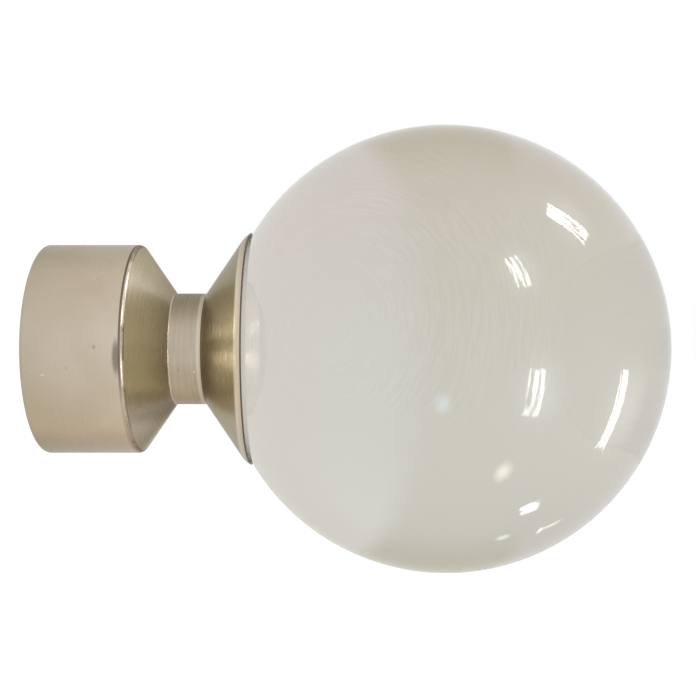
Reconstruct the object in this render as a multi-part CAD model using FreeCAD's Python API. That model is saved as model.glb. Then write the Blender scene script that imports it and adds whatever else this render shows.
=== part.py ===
import FreeCAD, Part
import math
import os

from FreeCAD import Vector

# Curtain pole finial: a clear ball on a turned metal collar that slides over the end of a pole.
# Millimetres. X is the pole's axis, the ball lies toward +X, and +Z is up.
# X = 0 is the stop inside the collar, where the end of the pole comes to rest.

# Pole and socket
pole_diameter = 28.0
pole_clearance = 0.2  # radial, between the pole and the bore
socket_depth = 14.0  # from the mouth to the stop
mouth_chamfer = 0.5

# Collar, outside
socket_wall = 2.3
stop_to_corner = 0.75  # from the stop to the edge where the cup turns into its cone
cone_angle = 55.2  # both cones, from the axis, in degrees
neck_diameter = 17.65
neck_length = 4.9
flare_diameter = 34.8  # where the straight flare meets the rounded lip
lip_start_angle = 51.0  # slope of the lip at the flare, from the axis
lip_end_angle = 29.5  # slope of the lip at the ball
lip_radius = 4.1
lip_land = 0.6  # width of the flat ring round the ball
rim_fillet = 0.5
corner_fillet = 0.7
neck_fillet = 0.25

# Ball
ball_diameter = 70.0
glue_gap = 0.05  # between the ball and the dish that it sits in
drill_point_angle = 118.0
drill_runout = 1.5  # beyond the tip of the fixing screw

# Fixing screw, a pan head machine screw with a cross recess
screw_diameter = 5.0
screw_length = 16.0  # under the head
screw_tip_chamfer = 0.6
head_diameter = 9.5
head_height = 3.7
head_side = 1.9  # height of the head's upright side
head_sink = 0.6  # from the stop down to the top of the head
head_fillet = 0.5
cross_width = 4.9
cross_slot = 1.1
cross_depth = 2.6
cross_tip_width = 1.8

# Split lock washer
washer_diameter = 9.2
washer_thickness = 1.2
washer_clearance = 0.1  # radial, round the screw
washer_split = 0.6
washer_split_angle = 25.0

# Holes for screws
hole_clearance = 0.25  # radial, round the screw where it passes through the neck
thread_clearance = 0.05  # radial, where a screw is threaded into its hole
recess_clearance = 0.9  # radial, round the screw's head

# Set screw, which grips the pole from the back of the cup
set_screw_diameter = 4.0
set_screw_length = 3.0
set_screw_setback = 0.2  # from the bore's wall out to the screw's tip
set_screw_chamfer = 0.35
set_screw_cup_diameter = 2.0
set_screw_cup_depth = 0.5
hex_across_flats = 2.0
hex_depth = 1.4

# Radii, worked out
pole_radius = pole_diameter / 2
bore_radius = pole_radius + pole_clearance
cup_radius = bore_radius + socket_wall
neck_radius = neck_diameter / 2
flare_radius = flare_diameter / 2
ball_radius = ball_diameter / 2
dish_radius = ball_radius + glue_gap
screw_radius = screw_diameter / 2
head_radius = head_diameter / 2
recess_radius = max(head_diameter, washer_diameter) / 2 + recess_clearance
neck_hole_radius = screw_radius + hole_clearance
ball_hole_radius = screw_radius + thread_clearance

# Stations along the axis, worked out
stop_x = 0.0
mouth_x = stop_x - socket_depth
corner_x = stop_x + stop_to_corner
cone_slope = math.tan(math.radians(cone_angle))
neck_start_x = corner_x + (cup_radius - neck_radius) / cone_slope
neck_end_x = neck_start_x + neck_length
flare_x = neck_end_x + (flare_radius - neck_radius) / cone_slope
lip_start = math.radians(lip_start_angle)
lip_end = math.radians(lip_end_angle)
lip_x = flare_x + lip_radius * (math.sin(lip_start) - math.sin(lip_end))
lip_edge_radius = flare_radius + lip_radius * (math.cos(lip_end) - math.cos(lip_start))
dish_edge_radius = lip_edge_radius - lip_land
ball_x = lip_x + math.sqrt(dish_radius**2 - dish_edge_radius**2)
head_top_x = stop_x + head_sink
head_seat_x = head_top_x + head_height
washer_seat_x = head_seat_x + washer_thickness
screw_tip_x = head_seat_x + screw_length
drill_bottom_x = screw_tip_x + drill_runout
set_screw_x = (mouth_x + stop_x) / 2
set_screw_tip_y = bore_radius + set_screw_setback


def at(x, radius):
    """A point of a profile, at a station on the axis and a distance from it."""
    return Vector(x, 0, radius)


def line(a, b):
    return Part.LineSegment(a, b).toShape()


def arc(a, middle, b):
    return Part.Arc(a, middle, b).toShape()


def rounded_run(corners):
    """The lines from the first corner to the last. Each corner is (point, fillet radius), and 0 keeps it sharp."""
    edges = []
    start = corners[0][0]
    for i in range(1, len(corners)):
        corner, fillet = corners[i]
        if fillet == 0 or i == len(corners) - 1:
            edges.append(line(start, corner))
            start = corner
            continue
        back = (corners[i - 1][0] - corner).normalize()
        onward = (corners[i + 1][0] - corner).normalize()
        half = back.getAngle(onward) / 2
        reach = fillet / math.tan(half)
        middle = (back + onward).normalize() * (fillet / math.sin(half) - fillet)
        edges.append(line(start, corner + back * reach))
        edges.append(arc(corner + back * reach, corner + middle, corner + onward * reach))
        start = corner + onward * reach
    return edges


def turned(edges):
    """A solid turned round the pole's axis from the edges of a closed profile."""
    face = Part.Face(Part.Wire(Part.__sortEdges__(edges)))
    return face.revolve(Vector(0, 0, 0), Vector(1, 0, 0), 360)


def on_sphere(radius, distance_from_axis):
    """A point of a sphere round the ball's centre, on the side of the collar."""
    return at(ball_x - math.sqrt(radius**2 - distance_from_axis**2), distance_from_axis)


def lip_point(slope):
    """A point of the collar's rounded lip, where it slopes by this angle from the axis."""
    return at(
        flare_x + lip_radius * (math.sin(lip_start) - math.sin(slope)),
        flare_radius + lip_radius * (math.cos(slope) - math.cos(lip_start)),
    )


def make_collar():
    """One turned piece: the cup that takes the pole, the waist, and the flare with its dish for the ball."""
    outside = rounded_run([
        (at(mouth_x, bore_radius + mouth_chamfer), 0),
        (at(mouth_x, cup_radius), rim_fillet),
        (at(corner_x, cup_radius), corner_fillet),
        (at(neck_start_x, neck_radius), neck_fillet),
        (at(neck_end_x, neck_radius), neck_fillet),
        (at(flare_x, flare_radius), 0),
    ])
    lip = arc(lip_point(lip_start), lip_point((lip_start + lip_end) / 2), lip_point(lip_end))
    land = line(lip_point(lip_end), on_sphere(dish_radius, dish_edge_radius))
    dish = arc(
        on_sphere(dish_radius, dish_edge_radius),
        on_sphere(dish_radius, dish_edge_radius / 2),
        on_sphere(dish_radius, neck_hole_radius),
    )
    inside = rounded_run([
        (on_sphere(dish_radius, neck_hole_radius), 0),
        (at(washer_seat_x, neck_hole_radius), 0),
        (at(washer_seat_x, recess_radius), 0),
        (at(stop_x, recess_radius), 0),
        (at(stop_x, bore_radius), 0),
        (at(mouth_x + mouth_chamfer, bore_radius), 0),
        (at(mouth_x, bore_radius + mouth_chamfer), 0),
    ])
    body = turned(outside + [lip, land, dish] + inside)
    tapped_hole = Part.makeCylinder(
        set_screw_diameter / 2 + thread_clearance,
        cup_radius,
        Vector(set_screw_x, pole_radius / 2, 0),
        Vector(0, 1, 0),
    )
    return body.cut(tapped_hole)


def make_ball():
    """One solid ball with a drilled blind hole on the collar's side."""
    hole_edge = on_sphere(ball_radius, ball_hole_radius)
    crown = at(ball_x, ball_radius)
    far_pole = at(ball_x + ball_radius, 0)
    drill_height = ball_hole_radius / math.tan(math.radians(drill_point_angle / 2))
    drill_tip = at(drill_bottom_x + drill_height, 0)
    surface = arc(hole_edge, crown, far_pole)
    hole = rounded_run([
        (drill_tip, 0),
        (at(drill_bottom_x, ball_hole_radius), 0),
        (hole_edge, 0),
    ])
    return turned([surface, line(far_pole, drill_tip)] + hole)


def make_cross_recess():
    """The space of a cross recess: two crossed slots that narrow toward their bottom."""
    cone = Part.makeCone(
        cross_width / 2, cross_tip_width / 2, cross_depth, at(head_top_x, 0), Vector(1, 0, 0)
    )
    slots = []
    for width, height in ((cross_slot, cross_width), (cross_width, cross_slot)):
        corner = Vector(head_top_x, -width / 2, -height / 2)
        slots.append(Part.makeBox(cross_depth, width, height, corner))
    return slots[0].fuse(slots[1]).common(cone)


def make_fixing_screw():
    """The machine screw that goes through the neck into the ball."""
    side_top = at(head_seat_x - head_side, head_radius)
    crown_rise = head_height - head_side
    crown_radius = (head_radius**2 + crown_rise**2) / (2 * crown_rise)
    crown_centre_x = head_top_x + crown_radius
    halfway = head_radius / 2
    crown_middle = at(crown_centre_x - math.sqrt(crown_radius**2 - halfway**2), halfway)
    crown = arc(at(head_top_x, 0), crown_middle, side_top)
    rest = rounded_run([
        (side_top, 0),
        (at(head_seat_x, head_radius), head_fillet),
        (at(head_seat_x, screw_radius), 0),
        (at(screw_tip_x - screw_tip_chamfer, screw_radius), 0),
        (at(screw_tip_x, screw_radius - screw_tip_chamfer), 0),
        (at(screw_tip_x, 0), 0),
        (at(head_top_x, 0), 0),
    ])
    return turned([crown] + rest).cut(make_cross_recess())


def make_lock_washer():
    """A spring washer pressed flat, with its slanting split at the top."""
    outer = washer_diameter / 2
    inner = screw_radius + washer_clearance
    ring = Part.makeCylinder(outer, washer_thickness, at(head_seat_x, 0), Vector(1, 0, 0))
    ring = ring.cut(
        Part.makeCylinder(inner, washer_thickness, at(head_seat_x, 0), Vector(1, 0, 0))
    )
    saw = Part.makeBox(3 * washer_thickness, washer_split, outer)
    saw.translate(Vector(-1.5 * washer_thickness, -washer_split / 2, 0))
    saw.rotate(Vector(0, 0, 0), Vector(0, 0, 1), washer_split_angle)
    saw.translate(at(head_seat_x + washer_thickness / 2, inner / 2))
    return ring.cut(saw)


def make_hexagon_prism(across_flats, length):
    """A hexagonal prism that stands on the origin along +Z."""
    corner_radius = across_flats / math.sqrt(3)
    corners = []
    for i in range(7):
        angle = math.radians(60 * i)
        corners.append(Vector(corner_radius * math.cos(angle), corner_radius * math.sin(angle), 0))
    return Part.Face(Part.makePolygon(corners)).extrude(Vector(0, 0, length))


def make_set_screw():
    """A headless screw with a hexagon socket outside and a cup point towards the pole."""
    radius = set_screw_diameter / 2
    cup_radius_at_tip = set_screw_cup_diameter / 2
    profile = rounded_run([
        (at(set_screw_cup_depth, 0), 0),
        (at(0, cup_radius_at_tip), 0),
        (at(0, radius - set_screw_chamfer), 0),
        (at(set_screw_chamfer, radius), 0),
        (at(set_screw_length - set_screw_chamfer, radius), 0),
        (at(set_screw_length, radius - set_screw_chamfer), 0),
        (at(set_screw_length, 0), 0),
        (at(set_screw_cup_depth, 0), 0),
    ])
    screw = turned(profile)
    socket = make_hexagon_prism(hex_across_flats, hex_depth)
    socket.rotate(Vector(0, 0, 0), Vector(0, 1, 0), 90)
    socket.translate(at(set_screw_length - hex_depth, 0))
    screw = screw.cut(socket)
    screw.rotate(Vector(0, 0, 0), Vector(0, 0, 1), 90)
    screw.translate(Vector(set_screw_x, set_screw_tip_y, 0))
    return screw


nodes = {
    "collar": make_collar(),
    "ball": make_ball(),
    "fixing_screw": make_fixing_screw(),
    "lock_washer": make_lock_washer(),
    "set_screw": make_set_screw(),
}

os.makedirs("parts", exist_ok=True)
for name, shape in nodes.items():
    shape.exportStep(f"parts/{name}.step")
    box = shape.optimalBoundingBox()
    print(
        f"{name}: {len(shape.Solids)} solid, {shape.Volume:.1f} mm3, "
        f"X {box.XMin:.2f}..{box.XMax:.2f}, Y {box.YMin:.2f}..{box.YMax:.2f}, "
        f"Z {box.ZMin:.2f}..{box.ZMax:.2f}, valid {shape.isValid()}"
    )
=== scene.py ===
import math

import bpy
from mathutils import Matrix, Vector


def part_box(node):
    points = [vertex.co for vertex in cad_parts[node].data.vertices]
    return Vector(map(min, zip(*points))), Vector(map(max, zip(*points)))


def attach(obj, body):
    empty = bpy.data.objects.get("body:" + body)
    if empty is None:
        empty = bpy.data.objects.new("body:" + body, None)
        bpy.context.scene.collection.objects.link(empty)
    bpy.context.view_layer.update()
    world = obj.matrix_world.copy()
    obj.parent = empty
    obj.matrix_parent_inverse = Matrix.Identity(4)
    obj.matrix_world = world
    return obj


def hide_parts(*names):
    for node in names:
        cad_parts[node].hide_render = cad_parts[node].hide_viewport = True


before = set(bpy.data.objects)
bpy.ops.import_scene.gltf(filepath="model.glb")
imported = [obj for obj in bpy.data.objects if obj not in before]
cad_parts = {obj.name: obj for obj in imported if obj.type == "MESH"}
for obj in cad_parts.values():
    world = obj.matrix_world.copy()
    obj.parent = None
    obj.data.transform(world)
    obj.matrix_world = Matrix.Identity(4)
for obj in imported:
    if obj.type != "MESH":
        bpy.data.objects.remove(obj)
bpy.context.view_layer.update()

# Curtain pole finial, in metres, in the frame of the CAD model: X along the pole towards the ball, Z up.

MM = 0.001

# The photograph's frame, in its own pixels
FRAME_PX = 696
FOCAL_PX = 1027.0

# The pieces, read from the frame
ball_low, ball_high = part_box("ball")
collar_low, collar_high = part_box("collar")
screw_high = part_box("fixing_screw")[1]
set_low, set_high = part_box("set_screw")
BALL_RADIUS = min(ball_high.y - ball_low.y, ball_high.z - ball_low.z) / 2
BALL_CENTRE = Vector((ball_high.x - BALL_RADIUS, 0, 0))
LIP_X = collar_high.x
CUP_RADIUS = 16.5 * MM

# The waist between the two cones
NECK_START_X = 6.08 * MM
NECK_END_X = 10.98 * MM
NECK_RADIUS = 8.825 * MM

# Camera
CAMERA_DISTANCE = 163.9 * MM
CAMERA_PAST_BALL = 14.97 * MM  # how far the camera stands towards the pole from the ball's centre
CAMERA_LIFT = 0.14 * MM

# Screws
SCREW_RADIUS = 2.5 * MM
SCREW_PITCH = 0.8 * MM
THREAD_DEPTH = 0.45 * MM
THREAD_CLEARANCE = 0.05 * MM
HEAD_HEIGHT = 3.7 * MM
HEAD_SIDE = 1.9 * MM
HEAD_RADIUS = 4.75 * MM
HEAD_TOP_X = 0.6 * MM
HEAD_FILLET = 0.5 * MM
TIP_CHAMFER = 0.6 * MM
CROSS_DEPTH = 2.6 * MM
CROSS_RADIUS = 2.45 * MM
CROSS_TIP_RADIUS = 0.9 * MM
CROSS_SLOT = 1.1 * MM
DRILL_RUNOUT = 1.5 * MM
DRILL_HALF_ANGLE = math.radians(59)
SET_PITCH = 0.7 * MM
SET_CHAMFER = 0.35 * MM
SET_CUP_RADIUS = 1.0 * MM
SET_CUP_DEPTH = 0.5 * MM
HEX_FLATS = 2.0 * MM
HEX_DEPTH = 1.4 * MM
THREAD_ROOT_HALF = 1 / 16  # half of the flat at a thread's root, as a share of its pitch
THREAD_CREST_HALF = 1 / 8
ROWS_PER_PITCH = 8
SCREW_SHARP_ANGLE = math.radians(35)
BALL_SHARP_ANGLE = math.radians(40)

# What surrounds the object: cream on the pole's side, paler and cooler on the ball's side. The cream falls
# off towards straight up and straight down, more so behind the object.
CREAM_ABOVE = (0.960, 0.985, 0.965)
CREAM_BELOW = (0.925, 0.940, 0.895)
CREAM_FALL_UP = (0.41, 0.39, 0.47)
CREAM_FALL_DOWN = (0.45, 0.60, 0.72)
FRONT_FALL_UP = (0.17, 0.20, 0.27)
FRONT_FALL_DOWN = (0.09, 0.14, 0.23)
CREAM_FALL_SIDE = (0.12, 0.18, 0.26)
PALE_NEAR = (0.985, 1.030, 1.060)
PALE_FAR = (0.960, 0.980, 0.990)
PALE_BELOW = (0.955, 0.935, 0.950)
PALE_FALL_DOWN = 0.14
EDGE_X = 0.14
EDGE_CURVE = 0.33
EDGE_SOFTNESS = 0.06

# What only the metal mirrors: dimmer places close behind the object, above and below it, and a paler one
# under the cup
BEHIND_ABOVE = (0.55, 0.51, 0.45)
BEHIND_BELOW = (0.42, 0.40, 0.37)
UNDER_CUP = (1.10, 1.20, 1.32)

FLOOR_Z = -0.30
FLOOR_PAINT = (0.9, 0.9, 0.9)
FLOOR_HALF_SIZE = 20.0
FLOOR_GLOW = 0.46  # brings the lit floor up to white
WORLD_LIGHT = 0.8  # how strongly the surroundings light things; mirrors and glass see them at 1


def make_camera():
    data = bpy.data.cameras.new("camera")
    data.sensor_width = 36
    data.lens = data.sensor_width * FOCAL_PX / FRAME_PX
    data.clip_start = 0.01
    data.clip_end = 60
    camera = bpy.data.objects.new("camera", data)
    camera.location = (BALL_CENTRE.x - CAMERA_PAST_BALL, -CAMERA_DISTANCE, CAMERA_LIFT)
    camera.rotation_euler = (math.radians(90), 0, 0)
    bpy.context.scene.collection.objects.link(camera)
    bpy.context.scene.camera = camera
    return camera


# Node helpers

def new_material(name):
    material = bpy.data.materials.new(name)
    material.use_nodes = True
    tree = material.node_tree
    tree.nodes.clear()
    output = tree.nodes.new("ShaderNodeOutputMaterial")
    shader = tree.nodes.new("ShaderNodeBsdfPrincipled")
    tree.links.new(shader.outputs["BSDF"], output.inputs["Surface"])
    return material, tree, shader, output


def put(tree, socket, value):
    """Sets a socket to a number or a colour, or links another socket to it."""
    if isinstance(value, bpy.types.NodeSocket):
        tree.links.new(value, socket)
    elif isinstance(value, tuple) and len(socket.default_value) == 4:
        socket.default_value = (*value, 1)
    else:
        socket.default_value = value


def maths(tree, operation, *values):
    node = tree.nodes.new("ShaderNodeMath")
    node.operation = operation
    for socket, value in zip(node.inputs, values):
        put(tree, socket, value)
    return node.outputs[0]


def times(tree, a, b):
    return maths(tree, "MULTIPLY", a, b)


def larger(tree, a, b):
    return maths(tree, "MAXIMUM", a, b)


def vectors(tree, operation, *values):
    node = tree.nodes.new("ShaderNodeVectorMath")
    node.operation = operation
    for socket, value in zip(node.inputs, values):
        put(tree, socket, value)
    return node.outputs["Value" if operation in ("DOT_PRODUCT", "LENGTH") else "Vector"]


def scaled(tree, vector, factor):
    node = tree.nodes.new("ShaderNodeVectorMath")
    node.operation = "SCALE"
    put(tree, node.inputs[0], vector)
    put(tree, node.inputs["Scale"], factor)
    return node.outputs["Vector"]


def ramp(tree, value, low, high, to_low=0.0, to_high=1.0, smooth=True):
    """Runs from to_low to to_high while the value runs from low to high, and stays there beyond."""
    node = tree.nodes.new("ShaderNodeMapRange")
    node.interpolation_type = "SMOOTHSTEP" if smooth else "LINEAR"
    for name, number in (("From Min", low), ("From Max", high), ("To Min", to_low), ("To Max", to_high)):
        node.inputs[name].default_value = number
    put(tree, node.inputs["Value"], value)
    return node.outputs["Result"]


def blend(tree, factor, a, b, mode="MIX"):
    node = tree.nodes.new("ShaderNodeMix")
    node.data_type = "RGBA"
    node.blend_type = mode
    put(tree, node.inputs[0], factor)
    put(tree, node.inputs[6], a)
    put(tree, node.inputs[7], b)
    return node.outputs[2]


def noise(tree, where, detail, roughness=0.5):
    node = tree.nodes.new("ShaderNodeTexNoise")
    node.inputs["Scale"].default_value = 1.0
    node.inputs["Detail"].default_value = detail
    node.inputs["Roughness"].default_value = roughness
    put(tree, node.inputs["Vector"], where)
    return node.outputs["Fac"]


def place(tree):
    """The point on the object, in millimetres."""
    source = tree.nodes.new("ShaderNodeTexCoord")
    return scaled(tree, source.outputs["Object"], 1 / MM)


def parts_of(tree, vector):
    node = tree.nodes.new("ShaderNodeSeparateXYZ")
    put(tree, node.inputs[0], vector)
    return node.outputs


def rings(tree, where, per_mm, detail):
    """Turning marks: thin rings round the pole's axis, slowly changing along each ring."""
    scale = (per_mm, RING_CHANGE_PER_MM, RING_CHANGE_PER_MM)
    return noise(tree, vectors(tree, "MULTIPLY", where, scale), detail)


def band(tree, value, low, high, soft):
    """1 between two values and 0 outside them."""
    rise = ramp(tree, value, low - soft, low + soft)
    return times(tree, rise, ramp(tree, value, high - soft, high + soft, 1.0, 0.0))


def blot(tree, where, centre, radii):
    """1 at a spot's centre and 0 past its edge. Both are in metres."""
    offset = vectors(tree, "SUBTRACT", where, tuple(c / MM for c in centre))
    relative = vectors(tree, "DIVIDE", offset, tuple(r / MM for r in radii))
    return ramp(tree, vectors(tree, "LENGTH", relative), 1.0, 0.35)


def bump(tree, shader, height, distance):
    node = tree.nodes.new("ShaderNodeBump")
    node.inputs["Strength"].default_value = 1.0
    node.inputs["Distance"].default_value = distance
    put(tree, node.inputs["Height"], height)
    tree.links.new(node.outputs["Normal"], shader.inputs["Normal"])


# Places in the photograph, carried onto the object

def camera_ray(pixel):
    across = (pixel[0] - FRAME_PX / 2) / FOCAL_PX
    up = -(pixel[1] - FRAME_PX / 2) / FOCAL_PX
    return Vector((across, 1, up)).normalized()


def on_cylinder(camera, pixel, radius):
    """The near point of a cylinder round the pole's axis, behind this pixel."""
    ray = camera_ray(pixel)
    start = camera.location
    a = ray.y**2 + ray.z**2
    b = start.y * ray.y + start.z * ray.z
    c = start.y**2 + start.z**2 - radius**2
    return start + ray * ((-b - math.sqrt(b * b - a * c)) / a)


def mirrored(camera, pixel):
    """Where a ray through this pixel meets the ball, and its direction after it bounces off."""
    ray = camera_ray(pixel)
    start = camera.location - BALL_CENTRE
    along = start.dot(ray)
    inside = along * along - (start.length_squared - BALL_RADIUS**2)
    offset = start + ray * (-along - math.sqrt(max(inside, 0)))
    normal = offset.normalized()
    return BALL_CENTRE + offset, ray - 2 * ray.dot(normal) * normal


# Materials

# How fast turning marks change along each ring
RING_CHANGE_PER_MM = 0.12

# How high the fine relief of each finish stands, in metres
NICKEL_RELIEF = 1.2e-6
ACRYLIC_RELIEF = 3.0e-6
STEEL_RELIEF = 1.5e-6

# Colours of the screws, of the collar's plating, of marks on it, and of painted light and painted shade on
# it
STEEL_DARKER = (0.50, 0.49, 0.46)
STEEL_PALER = (0.60, 0.60, 0.58)
SPECULAR_TINT = (0.75, 0.72, 0.70)
PLATING_DARKER = (0.650, 0.549, 0.452)
PLATING_PALER = (0.702, 0.598, 0.507)
PLATING_GRAIN = (0.61, 0.545, 0.47)
CUP_MOUTH_DARKER = (0.30, 0.25, 0.17)
# painted light on the first cone, painted shade on the second (less dark low down), and the colour of the
# painted shade on both
FIRST_CONE_PAINTED_LIGHT = (1.22, 1.27, 1.15)
SECOND_CONE_PAINTED_SHADE = (0.67, 0.69, 0.60)
SECOND_CONE_PAINTED_SHADE_BELOW = (0.78, 0.82, 0.76)
CONE_SHADE = (0.10, 0.085, 0.06)
# the waist's darker colour, also used for its painted shade on top
WAIST_SHADE = (0.25, 0.205, 0.13)
# painted shade that breaks the corner's highlight into spans
CORNER_PAINTED_SHADE = (0.30, 0.25, 0.18)
# a dark line on the cup's side of the corner
CORNER_DARK_LINE = (0.16, 0.12, 0.09)
# painted shade on top of the lip
LIP_SHADE = (0.10, 0.085, 0.07)
# pale lines along the end of the waist and along the lip
PALE_LINE = (0.92, 0.87, 0.76)
DARK_PATCH = (0.22, 0.17, 0.15)
DARK_SPECK = (0.20, 0.17, 0.13)
PALE_SPECK = (0.86, 0.80, 0.72)
# a painted highlight on the dish's edge
DISH_EDGE_HIGHLIGHT = (0.93, 0.89, 0.85)
# painted shade in the seam round the ball
SEAM_PAINTED_SHADE = (0.060, 0.036, 0.034)

# Clear acrylic, and the buffing arcs on the ball, whose relief is real and whose caught light is painted:
# the pixel that they run round, how many of them there are to a millimetre, and their two painted tones,
# halfway between which lies the acrylic's own colour
ACRYLIC_IOR = 1.49
ACRYLIC_TINT = (0.253, 0.157, 0.0)
ACRYLIC_DENSITY = 8.3  # per metre
SWIRL_PX = (330, 323)
SWIRL_PER_MM = 2.4
BASE_AND_PAINTED_ARC_DARKER = (0.935, 0.925, 0.910)
BASE_AND_PAINTED_ARC_PALER = (1.0, 1.0, 0.996)

# Marks on the collar: the pixel where each shows, the radius of the surface it lies on, and its half length
# along the pole and half height
# a dark patch on the cup beside the corner
COLLAR_DARK_PATCH = ((115.5, 357), CUP_RADIUS, (0.75 * MM, 3.4 * MM))
DARK_SPECKS = [
    ((93.7, 347), CUP_RADIUS, (0.40 * MM, 0.42 * MM)),
    ((66, 368), CUP_RADIUS, (0.22 * MM, 0.25 * MM)),
    ((178, 370), NECK_RADIUS, (0.20 * MM, 0.45 * MM)),
    ((110, 262), CUP_RADIUS, (0.25 * MM, 0.2 * MM)),
]
PALE_SPECKS = [
    ((42, 375), CUP_RADIUS, (0.45 * MM, 0.22 * MM)),
    ((94, 278), CUP_RADIUS, (0.22 * MM, 0.2 * MM)),
    ((102, 273), CUP_RADIUS, (0.25 * MM, 0.2 * MM)),
    ((194, 372), NECK_RADIUS, (0.25 * MM, 0.35 * MM)),
]


def all_blots(tree, camera, where, marks):
    """1 at the centre of any of these marks, and 0 outside them all."""
    total = 0.0
    for pixel, radius, (half_length, half_height) in marks:
        centre = on_cylinder(camera, pixel, radius)
        spot = blot(tree, where, centre, (half_length, half_height, half_height))
        total = larger(tree, total, spot)
    return total


def plated(tree, where):
    """The plating's colour, with its clouds and its grain."""
    clouds = noise(tree, scaled(tree, where, 0.13), 3.0)
    grain = noise(tree, scaled(tree, where, 2.2), 4.0, 0.6)
    colour = blend(tree, ramp(tree, clouds, 0.3, 0.7), PLATING_DARKER, PLATING_PALER)
    return blend(tree, ramp(tree, grain, 0.25, 0.75, 0.0, 0.35), colour, PLATING_GRAIN), grain


def cones_painted_light_and_shade(tree, x, z, colour):
    """The plating is yellower on the two cones: painted paler on the first as painted reflected light, and
    darker on the second as painted shade, less dark low down. Both get painted shade next to the waist, the
    first also low down, the second also on top and along its middle."""
    neck_start = NECK_START_X / MM
    neck_end = NECK_END_X / MM
    first_cone = band(tree, x, 0.9, neck_start - 0.1, 0.1)
    # painted light: the first cone is made paler and yellower
    colour = blend(tree, first_cone, colour, FIRST_CONE_PAINTED_LIGHT, "MULTIPLY")
    # painted shade on the first cone, next to the waist and low down
    first_shade = ramp(tree, x, 3.2, neck_start, 0.0, 0.22)
    first_shade = larger(tree, first_shade, times(tree, band(tree, z, -11.0, -6.2, 1.2), 0.38))
    colour = blend(tree, times(tree, first_cone, first_shade), colour, CONE_SHADE)
    second_cone = band(tree, x, neck_end, 16.9, 0.1)
    # painted shade: the second cone is made darker and yellower, less so low down
    second_painted_shade_tone = blend(tree, ramp(tree, z, -6.0, -11.0), SECOND_CONE_PAINTED_SHADE, SECOND_CONE_PAINTED_SHADE_BELOW)
    colour = blend(tree, second_cone, colour, second_painted_shade_tone, "MULTIPLY")
    # painted shade on the second cone, next to the waist, on top and along its middle
    second_shade = ramp(tree, x, neck_end - 0.1, neck_end + 2.9, 0.37, 0.0, False)
    second_shade = larger(tree, second_shade, ramp(tree, z, 4.0, 8.0, 0.0, 0.15))
    middle = times(tree, band(tree, z, -0.9, 1.6, 0.7), ramp(tree, x, 15.6, 14.0, 0.0, 0.22))
    second_shade = larger(tree, second_shade, middle)
    return blend(tree, times(tree, second_cone, second_shade), colour, CONE_SHADE)


def waist_dulled_and_shaded(tree, where, x, z, colour):
    """The waist is left as it was turned, less polished than the rest, darker overall with its turning
    marks, and with painted shade on top.
    """
    waist = band(tree, x, NECK_START_X / MM + 0.1, NECK_END_X / MM - 0.1, 0.08)
    coarse = rings(tree, where, 2.4, 2.0)
    # painted shade on top of the waist
    painted_top_shade = ramp(tree, z, 3.0, 7.0, 0.0, 0.40)
    waist_shade = maths(tree, "ADD", ramp(tree, coarse, 0.35, 0.65, 0.26, 0.38), painted_top_shade)
    return blend(tree, times(tree, waist, waist_shade), colour, WAIST_SHADE), waist


def edge_lines_and_painted_shade(tree, where, x, z, colour):
    """Painted shade that breaks the corner's highlight into spans, a dark line on the cup's side of the
    corner, fainter low down, painted shade on top of the lip, and pale lines along the end of the waist and
    along the lip.
    """
    # painted shade on the corner: full outside the spans where its highlight shows, patchy within them
    patchy = noise(tree, vectors(tree, "MULTIPLY", where, (0.1, 0.8, 0.8)), 2.0)
    broken = ramp(tree, patchy, 0.35, 0.55, 0.25, 0.0)
    highlight_spans = larger(tree, band(tree, z, 3.4, 13.0, 0.5), band(tree, z, -5.4, -1.7, 0.4))
    corner_painted_shade = maths(tree, "ADD", broken, ramp(tree, highlight_spans, 0.0, 1.0, 0.62, 0.0, False))
    corner_painted_shade = times(tree, band(tree, x, 0.62, 1.05, 0.06), corner_painted_shade)
    colour = blend(tree, corner_painted_shade, colour, CORNER_PAINTED_SHADE)
    # a dark line on the cup's side of the corner, fainter low down
    dark_line = times(tree, band(tree, x, 0.26, 0.58, 0.05), ramp(tree, z, -9.0, -2.0, 0.25, 0.92))
    colour = blend(tree, dark_line, colour, CORNER_DARK_LINE)
    neck_end = NECK_END_X / MM
    # pale lines along the end of the waist and along the lip, fainter towards the lip's top and bottom
    neck_line = times(tree, band(tree, x, neck_end - 0.60, neck_end - 0.15, 0.20), 0.38)
    lip_line = times(tree, ramp(tree, x, 16.98, 17.08), ramp(tree, x, 17.15, 17.8, 0.80, 0.20))
    lip_line = times(tree, lip_line, ramp(tree, maths(tree, "ABSOLUTE", z), 5.0, 14.0, 1.0, 0.35))
    # painted shade on top of the lip
    lip_shade = times(tree, ramp(tree, x, 16.9, 17.1), ramp(tree, z, 12.5, 17.5, 0.0, 0.30))
    colour = blend(tree, lip_shade, colour, LIP_SHADE)
    return blend(tree, larger(tree, neck_line, lip_line), colour, PALE_LINE)


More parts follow.
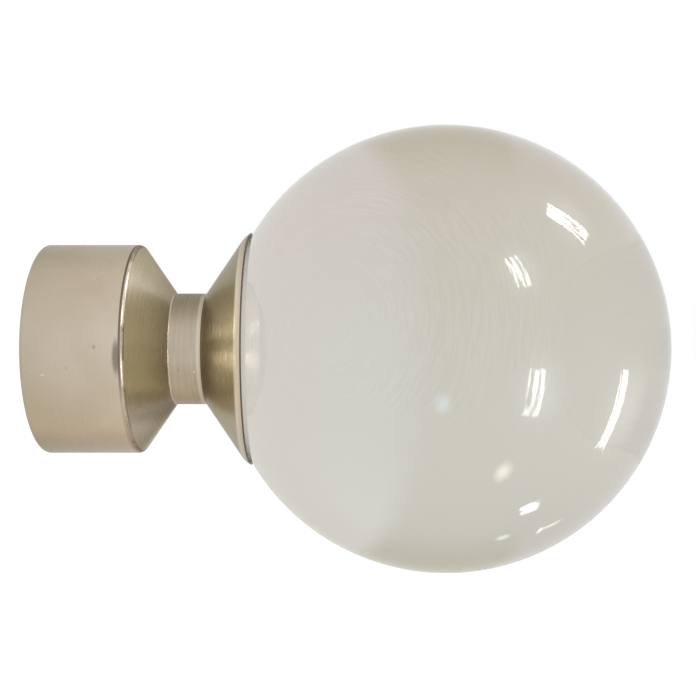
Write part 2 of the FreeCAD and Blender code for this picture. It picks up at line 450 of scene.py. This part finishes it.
def seam_shade_and_dish_highlight(tree, where, x, y, colour):
    """Painted shade in the seam round the ball, on the side that faces the room, and a painted highlight on
    the edge of the dish.
    """
    lip = LIP_X / MM
    from_ball = vectors(tree, "LENGTH", vectors(tree, "SUBTRACT", where, tuple(BALL_CENTRE / MM)))
    outside_dish = ramp(tree, from_ball, BALL_RADIUS / MM + 0.08, BALL_RADIUS / MM + 0.12)
    at_seam = larger(tree, outside_dish, ramp(tree, x, lip - 0.16, lip - 0.10))
    # painted shade in the seam, on the side that faces the room
    seam_shade = times(tree, ramp(tree, x, lip - 0.26, lip - 0.16), at_seam)
    seam_shade = times(tree, seam_shade, ramp(tree, y, -1.5, 2.0, 1.0, 0.0))
    # a painted highlight on the dish's edge, seen through the ball
    dish_highlight = maths(tree, "SUBTRACT", ramp(tree, x, lip - 1.0, lip - 0.6), outside_dish)
    colour = blend(tree, larger(tree, dish_highlight, 0.0), colour, DISH_EDGE_HIGHLIGHT)
    return blend(tree, times(tree, seam_shade, 0.85), colour, SEAM_PAINTED_SHADE)


def satin_nickel(camera):
    material, tree, shader, _ = new_material("satin_nickel")
    shader.inputs["Metallic"].default_value = 1.0
    shader.inputs["Specular Tint"].default_value = (*SPECULAR_TINT, 1)
    where = place(tree)
    x, y, z = parts_of(tree, where)
    colour, grain = plated(tree, where)
    # the cup's colour is a little darker towards its mouth
    mouth = collar_low.x / MM
    towards_mouth = ramp(tree, x, mouth, mouth + 14.0, 0.29, 0.03, False)
    colour = blend(tree, towards_mouth, colour, CUP_MOUTH_DARKER)
    colour = cones_painted_light_and_shade(tree, x, z, colour)
    colour, waist = waist_dulled_and_shaded(tree, where, x, z, colour)
    colour = edge_lines_and_painted_shade(tree, where, x, z, colour)
    # a dark patch on the cup beside the corner
    dark_patch = all_blots(tree, camera, where, [COLLAR_DARK_PATCH])
    colour = blend(tree, times(tree, dark_patch, 0.80), colour, DARK_PATCH)
    dark = all_blots(tree, camera, where, DARK_SPECKS)
    colour = blend(tree, times(tree, dark, 0.35), colour, DARK_SPECK)
    pale = all_blots(tree, camera, where, PALE_SPECKS)
    colour = blend(tree, times(tree, pale, 0.45), colour, PALE_SPECK)
    colour = seam_shade_and_dish_highlight(tree, where, x, y, colour)
    put(tree, shader.inputs["Base Color"], colour)
    marks = rings(tree, where, 5.0, 3.0)
    rough = maths(tree, "ADD", ramp(tree, marks, 0.3, 0.7, 0.25, 0.33), times(tree, waist, 0.08))
    put(tree, shader.inputs["Roughness"], rough)
    height = maths(tree, "ADD", times(tree, marks, 0.6), times(tree, grain, 0.4))
    height = maths(tree, "ADD", height, times(tree, maths(tree, "SUBTRACT", pale, dark), 1.5))
    bump(tree, shader, height, NICKEL_RELIEF)
    return material


def clear_acrylic(camera):
    material, tree, shader, output = new_material("clear_acrylic")
    where = place(tree)
    from_centre = vectors(tree, "SUBTRACT", where, tuple(BALL_CENTRE / MM))
    # buffing has left fine scratches round a point on the front, beside the collar: they stand in relief,
    # and the light they catch is painted as faint darker and paler arcs
    swirl_axis = (mirrored(camera, SWIRL_PX)[0] - BALL_CENTRE).normalized()
    angle = vectors(tree, "DOT_PRODUCT", vectors(tree, "NORMALIZE", from_centre), tuple(swirl_axis))
    angle = maths(tree, "ARCCOSINE", angle)
    across = times(tree, angle, BALL_RADIUS / MM * SWIRL_PER_MM)
    along = scaled(tree, where, 0.33)
    combined = tree.nodes.new("ShaderNodeCombineXYZ")
    put(tree, combined.inputs[0], across)
    arcs = noise(tree, vectors(tree, "ADD", along, combined.outputs[0]), 1.0)
    patches = ramp(tree, noise(tree, scaled(tree, where, 0.12), 2.0), 0.36, 0.58, 0.25, 1.0)
    region = ramp(tree, angle, 1.25, 0.45, 0.10, 1.0)
    region = times(tree, region, ramp(tree, angle, 0.08, 0.42, 0.50, 1.0))
    region = times(tree, region, patches)
    x, _, z = parts_of(tree, where)
    region = times(tree, region, ramp(tree, z, -12.0, -4.0, 0.15, 1.0))
    region = times(tree, region, ramp(tree, x, 30.0, 38.0, 0.4, 1.0))
    # painted light: the arcs' tone swings either side of the acrylic's own colour
    shade = times(tree, region, ramp(tree, arcs, 0.41, 0.59, -0.5, 0.5))
    shade = maths(tree, "ADD", shade, 0.5)
    colour = blend(tree, shade, BASE_AND_PAINTED_ARC_DARKER, BASE_AND_PAINTED_ARC_PALER)
    put(tree, shader.inputs["Base Color"], colour)
    turning = rings(tree, where, 1.6, 2.0)
    put(tree, shader.inputs["Roughness"], ramp(tree, turning, 0.35, 0.75, 0.0, 0.003))
    shader.inputs["Transmission Weight"].default_value = 1.0
    shader.inputs["IOR"].default_value = ACRYLIC_IOR
    height = maths(tree, "ADD", turning, times(tree, times(tree, arcs, region), 2.0))
    bump(tree, shader, height, ACRYLIC_RELIEF)
    inside = tree.nodes.new("ShaderNodeVolumeAbsorption")
    inside.inputs["Color"].default_value = (*ACRYLIC_TINT, 1)
    inside.inputs["Density"].default_value = ACRYLIC_DENSITY
    tree.links.new(inside.outputs["Volume"], output.inputs["Volume"])
    return material


def plated_steel():
    material, tree, shader, _ = new_material("plated_steel")
    shader.inputs["Metallic"].default_value = 1.0
    where = place(tree)
    clouds = noise(tree, scaled(tree, where, 0.8), 3.0)
    scratches = noise(tree, vectors(tree, "MULTIPLY", where, (7.0, 1.2, 1.2)), 2.0)
    colour = blend(tree, ramp(tree, clouds, 0.35, 0.65), STEEL_DARKER, STEEL_PALER)
    put(tree, shader.inputs["Base Color"], colour)
    put(tree, shader.inputs["Roughness"], ramp(tree, scratches, 0.3, 0.7, 0.22, 0.38))
    bump(tree, shader, scratches, STEEL_RELIEF)
    return material


# Meshes

def mesh_from_rings(name, ring_list, axis_map=None):
    """A mesh skinned over rings of points, from the +X end of its outside to the -X end, so that the faces
    look outwards. Each ring has the same number of points, or one point."""
    vertices = []
    index = []
    for row in ring_list:
        index.append(range(len(vertices), len(vertices) + len(row)))
        vertices.extend(row)
    faces = []
    for a, b in zip(index, index[1:]):
        count = max(len(a), len(b))
        for k in range(count):
            n = (k + 1) % count
            if len(a) == 1:
                faces.append((a[0], b[k], b[n]))
            elif len(b) == 1:
                faces.append((a[k], b[0], a[n]))
            else:
                faces.append((a[k], b[k], b[n], a[n]))
    mesh = bpy.data.meshes.new(name)
    mesh.from_pydata(vertices, [], faces)
    if axis_map is not None:
        mesh.transform(axis_map)
    mesh.update()
    return mesh


def ring(x, radius, steps):
    """A ring round the X axis. The radius is a number, or a function of the angle."""
    if not callable(radius) and radius < 1e-9:
        return [(x, 0, 0)]
    points = []
    for k in range(steps):
        angle = 2 * math.pi * k / steps
        r = radius(angle) if callable(radius) else radius
        points.append((x, r * math.cos(angle), r * math.sin(angle)))
    return points


def thread(x, angle, pitch):
    """The height of a screw thread, from 0 at its root to 1 at its crest."""
    turn = (x / pitch - angle / (2 * math.pi)) % 1
    foot = 0.5 - THREAD_ROOT_HALF
    return min(1, max(0, (foot - abs(turn - 0.5)) / (foot - THREAD_CREST_HALF)))


def threaded_rings(x_start, x_end, root, depth, pitch, steps):
    count = max(2, round(abs(x_end - x_start) / pitch * ROWS_PER_PITCH))
    rows = []
    for i in range(count + 1):
        x = x_start + (x_end - x_start) * i / count
        rows.append(ring(x, lambda angle, x=x: root + depth * thread(x, angle, pitch), steps))
    return rows


def smooth_piece(name, mesh, node, material, sharp_angle):
    piece = bpy.data.objects.new(name, mesh)
    bpy.context.scene.collection.objects.link(piece)
    for face in mesh.polygons:
        face.use_smooth = True
    mesh.set_sharp_from_angle(angle=sharp_angle)
    mesh.materials.append(material)
    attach(piece, "root")
    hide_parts(node)


def make_ball(material):
    """The ball, turned finely enough for clean refraction, with its tapped blind hole."""
    steps_round = 256
    steps_along = 160
    hole_radius = SCREW_RADIUS + THREAD_CLEARANCE
    hole_angle = math.asin(hole_radius / BALL_RADIUS)
    hole_mouth_x = BALL_CENTRE.x - BALL_RADIUS * math.cos(hole_angle)
    hole_bottom_x = screw_high.x + DRILL_RUNOUT
    ring_list = []
    for i in range(steps_along + 1):
        angle = (math.pi - hole_angle) * i / steps_along
        x = BALL_CENTRE.x + BALL_RADIUS * math.cos(angle)
        ring_list.append(ring(x, BALL_RADIUS * math.sin(angle), steps_round))
    core = hole_radius - THREAD_DEPTH
    ring_list += threaded_rings(
        hole_mouth_x + SCREW_PITCH / 4, hole_bottom_x, core, THREAD_DEPTH, SCREW_PITCH, steps_round
    )
    ring_list.append(ring(hole_bottom_x + core / math.tan(DRILL_HALF_ANGLE), 0, steps_round))
    mesh = mesh_from_rings("ball_body", ring_list)
    smooth_piece("ball_body", mesh, "ball", material, BALL_SHARP_ANGLE)


def cross_shape(reach):
    """The outline of a cross recess: its slots, cut off at this distance from the axis."""
    def radius(angle):
        off_slot = (angle + math.pi / 4) % (math.pi / 2) - math.pi / 4
        side = abs(math.sin(off_slot))
        return reach if side * reach <= CROSS_SLOT / 2 else CROSS_SLOT / 2 / side
    return radius


def make_fixing_screw(material):
    """A pan head machine screw with a cross recess and a cut thread."""
    steps = 96
    crown_rise = HEAD_HEIGHT - HEAD_SIDE
    crown_radius = (HEAD_RADIUS**2 + crown_rise**2) / (2 * crown_rise)
    seat_x = HEAD_TOP_X + HEAD_HEIGHT
    tip_x = screw_high.x

    def crown_x(r):
        return HEAD_TOP_X + crown_radius - math.sqrt(crown_radius**2 - r * r)

    edge = cross_shape(CROSS_RADIUS)
    ring_list = [ring(HEAD_TOP_X + CROSS_DEPTH, 0, steps)]
    for part in (1.0, 0.5):
        reach = CROSS_RADIUS + (CROSS_TIP_RADIUS - CROSS_RADIUS) * part
        ring_list.append(ring(HEAD_TOP_X + CROSS_DEPTH * part, cross_shape(reach), steps))
    for part in (0.0, 0.03, 0.35, 0.7, 1.0):
        row = []
        for k in range(steps):
            angle = 2 * math.pi * k / steps
            r = edge(angle) + (HEAD_RADIUS - edge(angle)) * part
            row.append((crown_x(r), r * math.cos(angle), r * math.sin(angle)))
        ring_list.append(row)
    for part in (0.0, 0.25, 0.5, 0.75, 1.0):
        turn = math.pi / 2 * part
        x = seat_x - HEAD_FILLET + HEAD_FILLET * math.sin(turn)
        ring_list.append(ring(x, HEAD_RADIUS - HEAD_FILLET + HEAD_FILLET * math.cos(turn), steps))
    root = SCREW_RADIUS - THREAD_DEPTH
    ring_list += threaded_rings(seat_x, tip_x - TIP_CHAMFER, root, THREAD_DEPTH, SCREW_PITCH, steps)
    ring_list.append(ring(tip_x, SCREW_RADIUS - TIP_CHAMFER, steps))
    ring_list.append(ring(tip_x, 0, steps))
    mesh = mesh_from_rings("fixing_screw_body", ring_list[::-1])
    smooth_piece("fixing_screw_body", mesh, "fixing_screw", material, SCREW_SHARP_ANGLE)


def hexagon(angle):
    off_flat = (angle + math.pi / 6) % (math.pi / 3) - math.pi / 6
    return HEX_FLATS / 2 / math.cos(off_flat)


def make_set_screw(material):
    """A headless screw with a hexagon socket at its outer end and a cup point."""
    steps = 72
    radius = (set_high.z - set_low.z) / 2
    length = set_high.y - set_low.y
    ring_list = [ring(SET_CUP_DEPTH, 0, steps), ring(0, SET_CUP_RADIUS, steps)]
    ring_list.append(ring(0, radius - SET_CHAMFER, steps))
    root = radius - THREAD_DEPTH
    ring_list += threaded_rings(SET_CHAMFER, length - SET_CHAMFER, root, THREAD_DEPTH, SET_PITCH, steps)
    ring_list.append(ring(length, radius - SET_CHAMFER, steps))
    ring_list.append(ring(length, hexagon, steps))
    ring_list.append(ring(length - HEX_DEPTH, hexagon, steps))
    ring_list.append(ring(length - HEX_DEPTH, 0, steps))
    middle = (set_low + set_high) / 2
    upright = Matrix.Translation((middle.x, set_low.y, middle.z)) @ Matrix.Rotation(math.radians(90), 4, "Z")
    mesh = mesh_from_rings("set_screw_body", ring_list[::-1], upright)
    smooth_piece("set_screw_body", mesh, "set_screw", material, SCREW_SHARP_ANGLE)


# Surroundings

def surroundings(tree, direction):
    """The colour that lies in this direction from the object."""
    x, y, z = parts_of(tree, direction)
    height = times(tree, z, z)
    below = ramp(tree, z, 0.15, -0.15)
    front = ramp(tree, y, 0.60, 0.0)
    up = blend(tree, front, CREAM_FALL_UP, FRONT_FALL_UP)
    down = blend(tree, front, CREAM_FALL_DOWN, FRONT_FALL_DOWN)
    fall = vectors(tree, "SUBTRACT", (1.0, 1.0, 1.0), scaled(tree, blend(tree, below, up, down), height))
    aside = maths(tree, "MINIMUM", x, 0.0)
    aside = scaled(tree, CREAM_FALL_SIDE, times(tree, aside, aside))
    cream = blend(tree, below, CREAM_ABOVE, CREAM_BELOW)
    cream = vectors(tree, "MULTIPLY", cream, fall)
    cream = vectors(tree, "MULTIPLY", cream, vectors(tree, "SUBTRACT", (1.0, 1.0, 1.0), aside))
    pale = blend(tree, ramp(tree, x, 0.25, 0.60), PALE_NEAR, PALE_FAR)
    pale = blend(tree, ramp(tree, z, 0.05, -0.45), pale, PALE_BELOW)
    dim = times(tree, times(tree, height, below), PALE_FALL_DOWN)
    pale = scaled(tree, pale, maths(tree, "SUBTRACT", 1.0, dim))
    edge = maths(tree, "SUBTRACT", x, times(tree, height, EDGE_CURVE))
    edge = ramp(tree, edge, EDGE_X - EDGE_SOFTNESS, EDGE_X + EDGE_SOFTNESS)
    return blend(tree, edge, cream, pale)


def seen_by_mirror_or_glass(tree, direction, with_camera):
    """Whether a mirror, glass or the camera looks here, whether the camera does, and what colour it sees."""
    paths = tree.nodes.new("ShaderNodeLightPath")
    glossy = paths.outputs["Is Glossy Ray"]
    through = paths.outputs["Is Transmission Ray"]
    seen = larger(tree, glossy, through)
    mirror = times(tree, glossy, maths(tree, "SUBTRACT", 1.0, through))
    mirror = times(tree, mirror, maths(tree, "SUBTRACT", 1.0, paths.outputs["Is Singular Ray"]))
    if with_camera:
        seen = larger(tree, seen, paths.outputs["Is Camera Ray"])
    colour = surroundings(tree, direction)
    x, y, z = parts_of(tree, direction)
    low = ramp(tree, z, 0.05, -0.05)
    nearer = maths(tree, "MULTIPLY_ADD", low, 0.28, y)
    farther = maths(tree, "MULTIPLY_ADD", low, -0.15, x)
    behind = times(tree, ramp(tree, nearer, 0.42, 0.58), ramp(tree, farther, -0.15, -0.03))
    behind = times(tree, behind, band(tree, maths(tree, "ABSOLUTE", z), 0.16, 0.60, 0.05))
    dim = blend(tree, low, BEHIND_ABOVE, BEHIND_BELOW)
    colour = blend(tree, times(tree, mirror, behind), colour, dim, "MULTIPLY")
    under = times(tree, ramp(tree, y, 0.2, 0.6), ramp(tree, x, -0.05, -0.20))
    under = times(tree, under, ramp(tree, z, -0.25, -0.50))
    colour = blend(tree, times(tree, mirror, under), colour, UNDER_CUP, "MULTIPLY")
    return seen, paths.outputs["Is Camera Ray"], colour


def make_world():
    world = bpy.data.worlds.new("world")
    bpy.context.scene.world = world
    world.use_nodes = True
    tree = world.node_tree
    tree.nodes.clear()
    output = tree.nodes.new("ShaderNodeOutputWorld")
    background = tree.nodes.new("ShaderNodeBackground")
    source = tree.nodes.new("ShaderNodeTexCoord")
    seen, camera_ray_only, colour = seen_by_mirror_or_glass(tree, source.outputs["Generated"], True)
    colour = blend(tree, camera_ray_only, colour, (1.0, 1.0, 1.0))
    put(tree, background.inputs["Color"], colour)
    put(tree, background.inputs["Strength"], ramp(tree, seen, 0.0, 1.0, WORLD_LIGHT, 1.0, False))
    tree.links.new(background.outputs[0], output.inputs["Surface"])


def make_floor():
    """A plain pale floor that keeps the object's shadow. Mirrors and glass see it as the surroundings."""
    mesh = bpy.data.meshes.new("floor")
    size = FLOOR_HALF_SIZE
    corners = [(-size, -size), (size, -size), (size, size), (-size, size)]
    mesh.from_pydata([(x, y, FLOOR_Z) for x, y in corners], [], [(0, 1, 2, 3)])
    floor = bpy.data.objects.new("floor", mesh)
    bpy.context.scene.collection.objects.link(floor)
    material, tree, shader, output = new_material("floor")
    shader.inputs["Base Color"].default_value = (*FLOOR_PAINT, 1)
    shader.inputs["Roughness"].default_value = 0.9
    shader.inputs["Specular IOR Level"].default_value = 0.0
    glow = tree.nodes.new("ShaderNodeEmission")
    glow.inputs["Color"].default_value = (1, 1, 1, 1)
    source = tree.nodes.new("ShaderNodeTexCoord")
    from_ball = vectors(tree, "SUBTRACT", source.outputs["Object"], tuple(BALL_CENTRE))
    direction = vectors(tree, "NORMALIZE", from_ball)
    seen, camera_ray_only, colour = seen_by_mirror_or_glass(tree, direction, False)
    put(tree, glow.inputs["Strength"], times(tree, camera_ray_only, FLOOR_GLOW))
    lit = tree.nodes.new("ShaderNodeAddShader")
    tree.links.new(shader.outputs[0], lit.inputs[0])
    tree.links.new(glow.outputs[0], lit.inputs[1])
    backdrop = tree.nodes.new("ShaderNodeEmission")
    put(tree, backdrop.inputs["Color"], colour)
    mix = tree.nodes.new("ShaderNodeMixShader")
    put(tree, mix.inputs["Fac"], seen)
    tree.links.new(lit.outputs[0], mix.inputs[1])
    tree.links.new(backdrop.outputs[0], mix.inputs[2])
    tree.links.new(mix.outputs[0], output.inputs["Surface"])
    mesh.materials.append(material)


# Each light that the ball mirrors: the two ends of its highlight and its width, in pixels of the photograph,
# its strength, its tint, how much of it is filled (1 is solid, less is streaky) and how soft its edges are
# (0.5 is a soft oval)
WHITE = (1.0, 1.0, 1.0)
CREAM = (1.0, 0.93, 0.78)
PALE = (0.80, 0.93, 1.0)
BLUE = (0.42, 0.74, 1.0)
LIGHTS = {
    "window_upper": ((546, 208.5), (587.5, 240), 13.4, 9.0, WHITE, 0.74, 0.06),
    "window_right": ((625, 369), (598, 450.5), 9.2, 8.0, WHITE, 0.80, 0.06),
    "window_low": ((518.0, 512.3), (541, 503.1), 9.8, 9.0, WHITE, 0.86, 0.20),
    "inner_upper": ((510.5, 256), (526, 289), 14.5, 11.0, WHITE, 0.63, 0.10),
    "inner_middle": ((538.5, 368), (528.5, 418), 19.0, 11.0, WHITE, 0.70, 0.10),
    "inner_low": ((509.5, 458), (495.5, 485.5), 21.0, 7.0, CREAM, 1.0, 0.5),
    "streak_low": ((537, 531), (563, 519), 3.0, 2.6, CREAM, 0.85, 0.30),
    "dot_low": ((535.5, 532.2), (544, 528.6), 6.0, 4.5, CREAM, 1.0, 0.5),
    "glint_low": ((493, 539.3), (513, 535), 6.5, 3.6, PALE, 1.0, 0.5),
    "cool_spot": ((446.5, 389), (439.5, 419), 23.0, 4.2, BLUE, 1.0, 0.5),
    "halo_upper": ((534, 200), (598, 249), 52.0, 1.1, WHITE, 1.0, 0.5),
    "halo_right": ((626, 345), (594, 470), 60.0, 1.1, WHITE, 1.0, 0.5),
    "halo_inner_upper": ((508, 238), (528, 306), 56.0, 1.9, PALE, 1.0, 0.5),
    "halo_inner_middle": ((541, 338), (527, 440), 66.0, 2.0, PALE, 1.0, 0.5),
}
LIGHT_DISTANCE = 0.26
STREAK_SCALE = (1.1, 5.5, 0.0)  # along a light, and across it
RAGGED_ENDS = 0.30


def shape_light(data, fill, softness, seed):
    """Soft ends and sides, and streaks along the light's length."""
    data.use_nodes = True
    tree = data.node_tree
    emission = next(n for n in tree.nodes if n.type == "EMISSION")
    spot = tree.nodes.new("ShaderNodeNewGeometry").outputs["Parametric"]
    along, across, _ = parts_of(tree, spot)
    if fill < 1.0:
        stretched = vectors(tree, "MULTIPLY_ADD", spot, STREAK_SCALE, (seed * 3.7, seed * 1.3, 0.0))
        streak = noise(tree, stretched, 1.0)
        streaks = ramp(tree, streak, 0.76 - 0.5 * fill, 0.82 - 0.5 * fill)
        ragged = times(tree, maths(tree, "SUBTRACT", streak, 0.5), RAGGED_ENDS)
        along = maths(tree, "ADD", along, ragged)
    else:
        streaks = 1.0
    if softness >= 0.5:
        from_middle = vectors(tree, "SUBTRACT", spot, (0.5, 0.5, 0.0))
        streaks = ramp(tree, vectors(tree, "LENGTH", from_middle), 0.5, 0.0)
    else:
        for part in (along, across):
            low = ramp(tree, part, 0.0, softness)
            high = ramp(tree, part, 1.0 - softness, 1.0, 1.0, 0.0)
            streaks = times(tree, streaks, times(tree, low, high))
    put(tree, emission.inputs["Strength"], streaks)


def light_from_highlight(camera, seed, name, first, last, width, level, tint, fill, softness):
    """An area light placed where the ball's surface mirrors it at these pixels."""
    middle = ((first[0] + last[0]) / 2, (first[1] + last[1]) / 2)
    length_px = math.dist(first, last)
    side = ((last[1] - first[1]) / length_px * width / 2, -(last[0] - first[0]) / length_px * width / 2)
    start, facing = mirrored(camera, middle)
    centre = start + facing * LIGHT_DISTANCE

    def in_plane(pixel):
        point, direction = mirrored(camera, pixel)
        return point + direction * ((centre - point).dot(facing) / direction.dot(facing))

    ends = [in_plane(p) for p in (first, last)]
    sides = [in_plane((middle[0] + side[0] * s, middle[1] + side[1] * s)) for s in (-1, 1)]
    x = (ends[1] - ends[0]).normalized()
    y = facing.cross(x)
    data = bpy.data.lights.new(name, "AREA")
    data.shape = "RECTANGLE"
    data.size = (ends[1] - ends[0]).length
    data.size_y = abs((sides[1] - sides[0]).dot(y))
    data.energy = level * math.pi * data.size * data.size_y
    data.color = tint
    shape_light(data, fill, softness, seed)
    lamp = bpy.data.objects.new(name, data)
    middle_of_ends = (ends[0] + ends[1]) / 2
    lamp.matrix_world = (
        Matrix.Translation(middle_of_ends) @ Matrix((x, y, facing)).transposed().to_4x4()
    )
    lamp.visible_camera = False
    lamp.visible_transmission = False
    bpy.context.scene.collection.objects.link(lamp)


camera = make_camera()
make_world()
make_floor()
for seed, (name, values) in enumerate(LIGHTS.items()):
    light_from_highlight(camera, seed, name, *values)

nickel = satin_nickel(camera)
steel = plated_steel()
for node, material in (("collar", nickel), ("lock_washer", steel)):
    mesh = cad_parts[node].data
    mesh.materials.clear()
    mesh.materials.append(material)
make_ball(clear_acrylic(camera))
make_fixing_screw(steel)
make_set_screw(steel)

bpy.context.scene.view_settings.view_transform = "Standard"
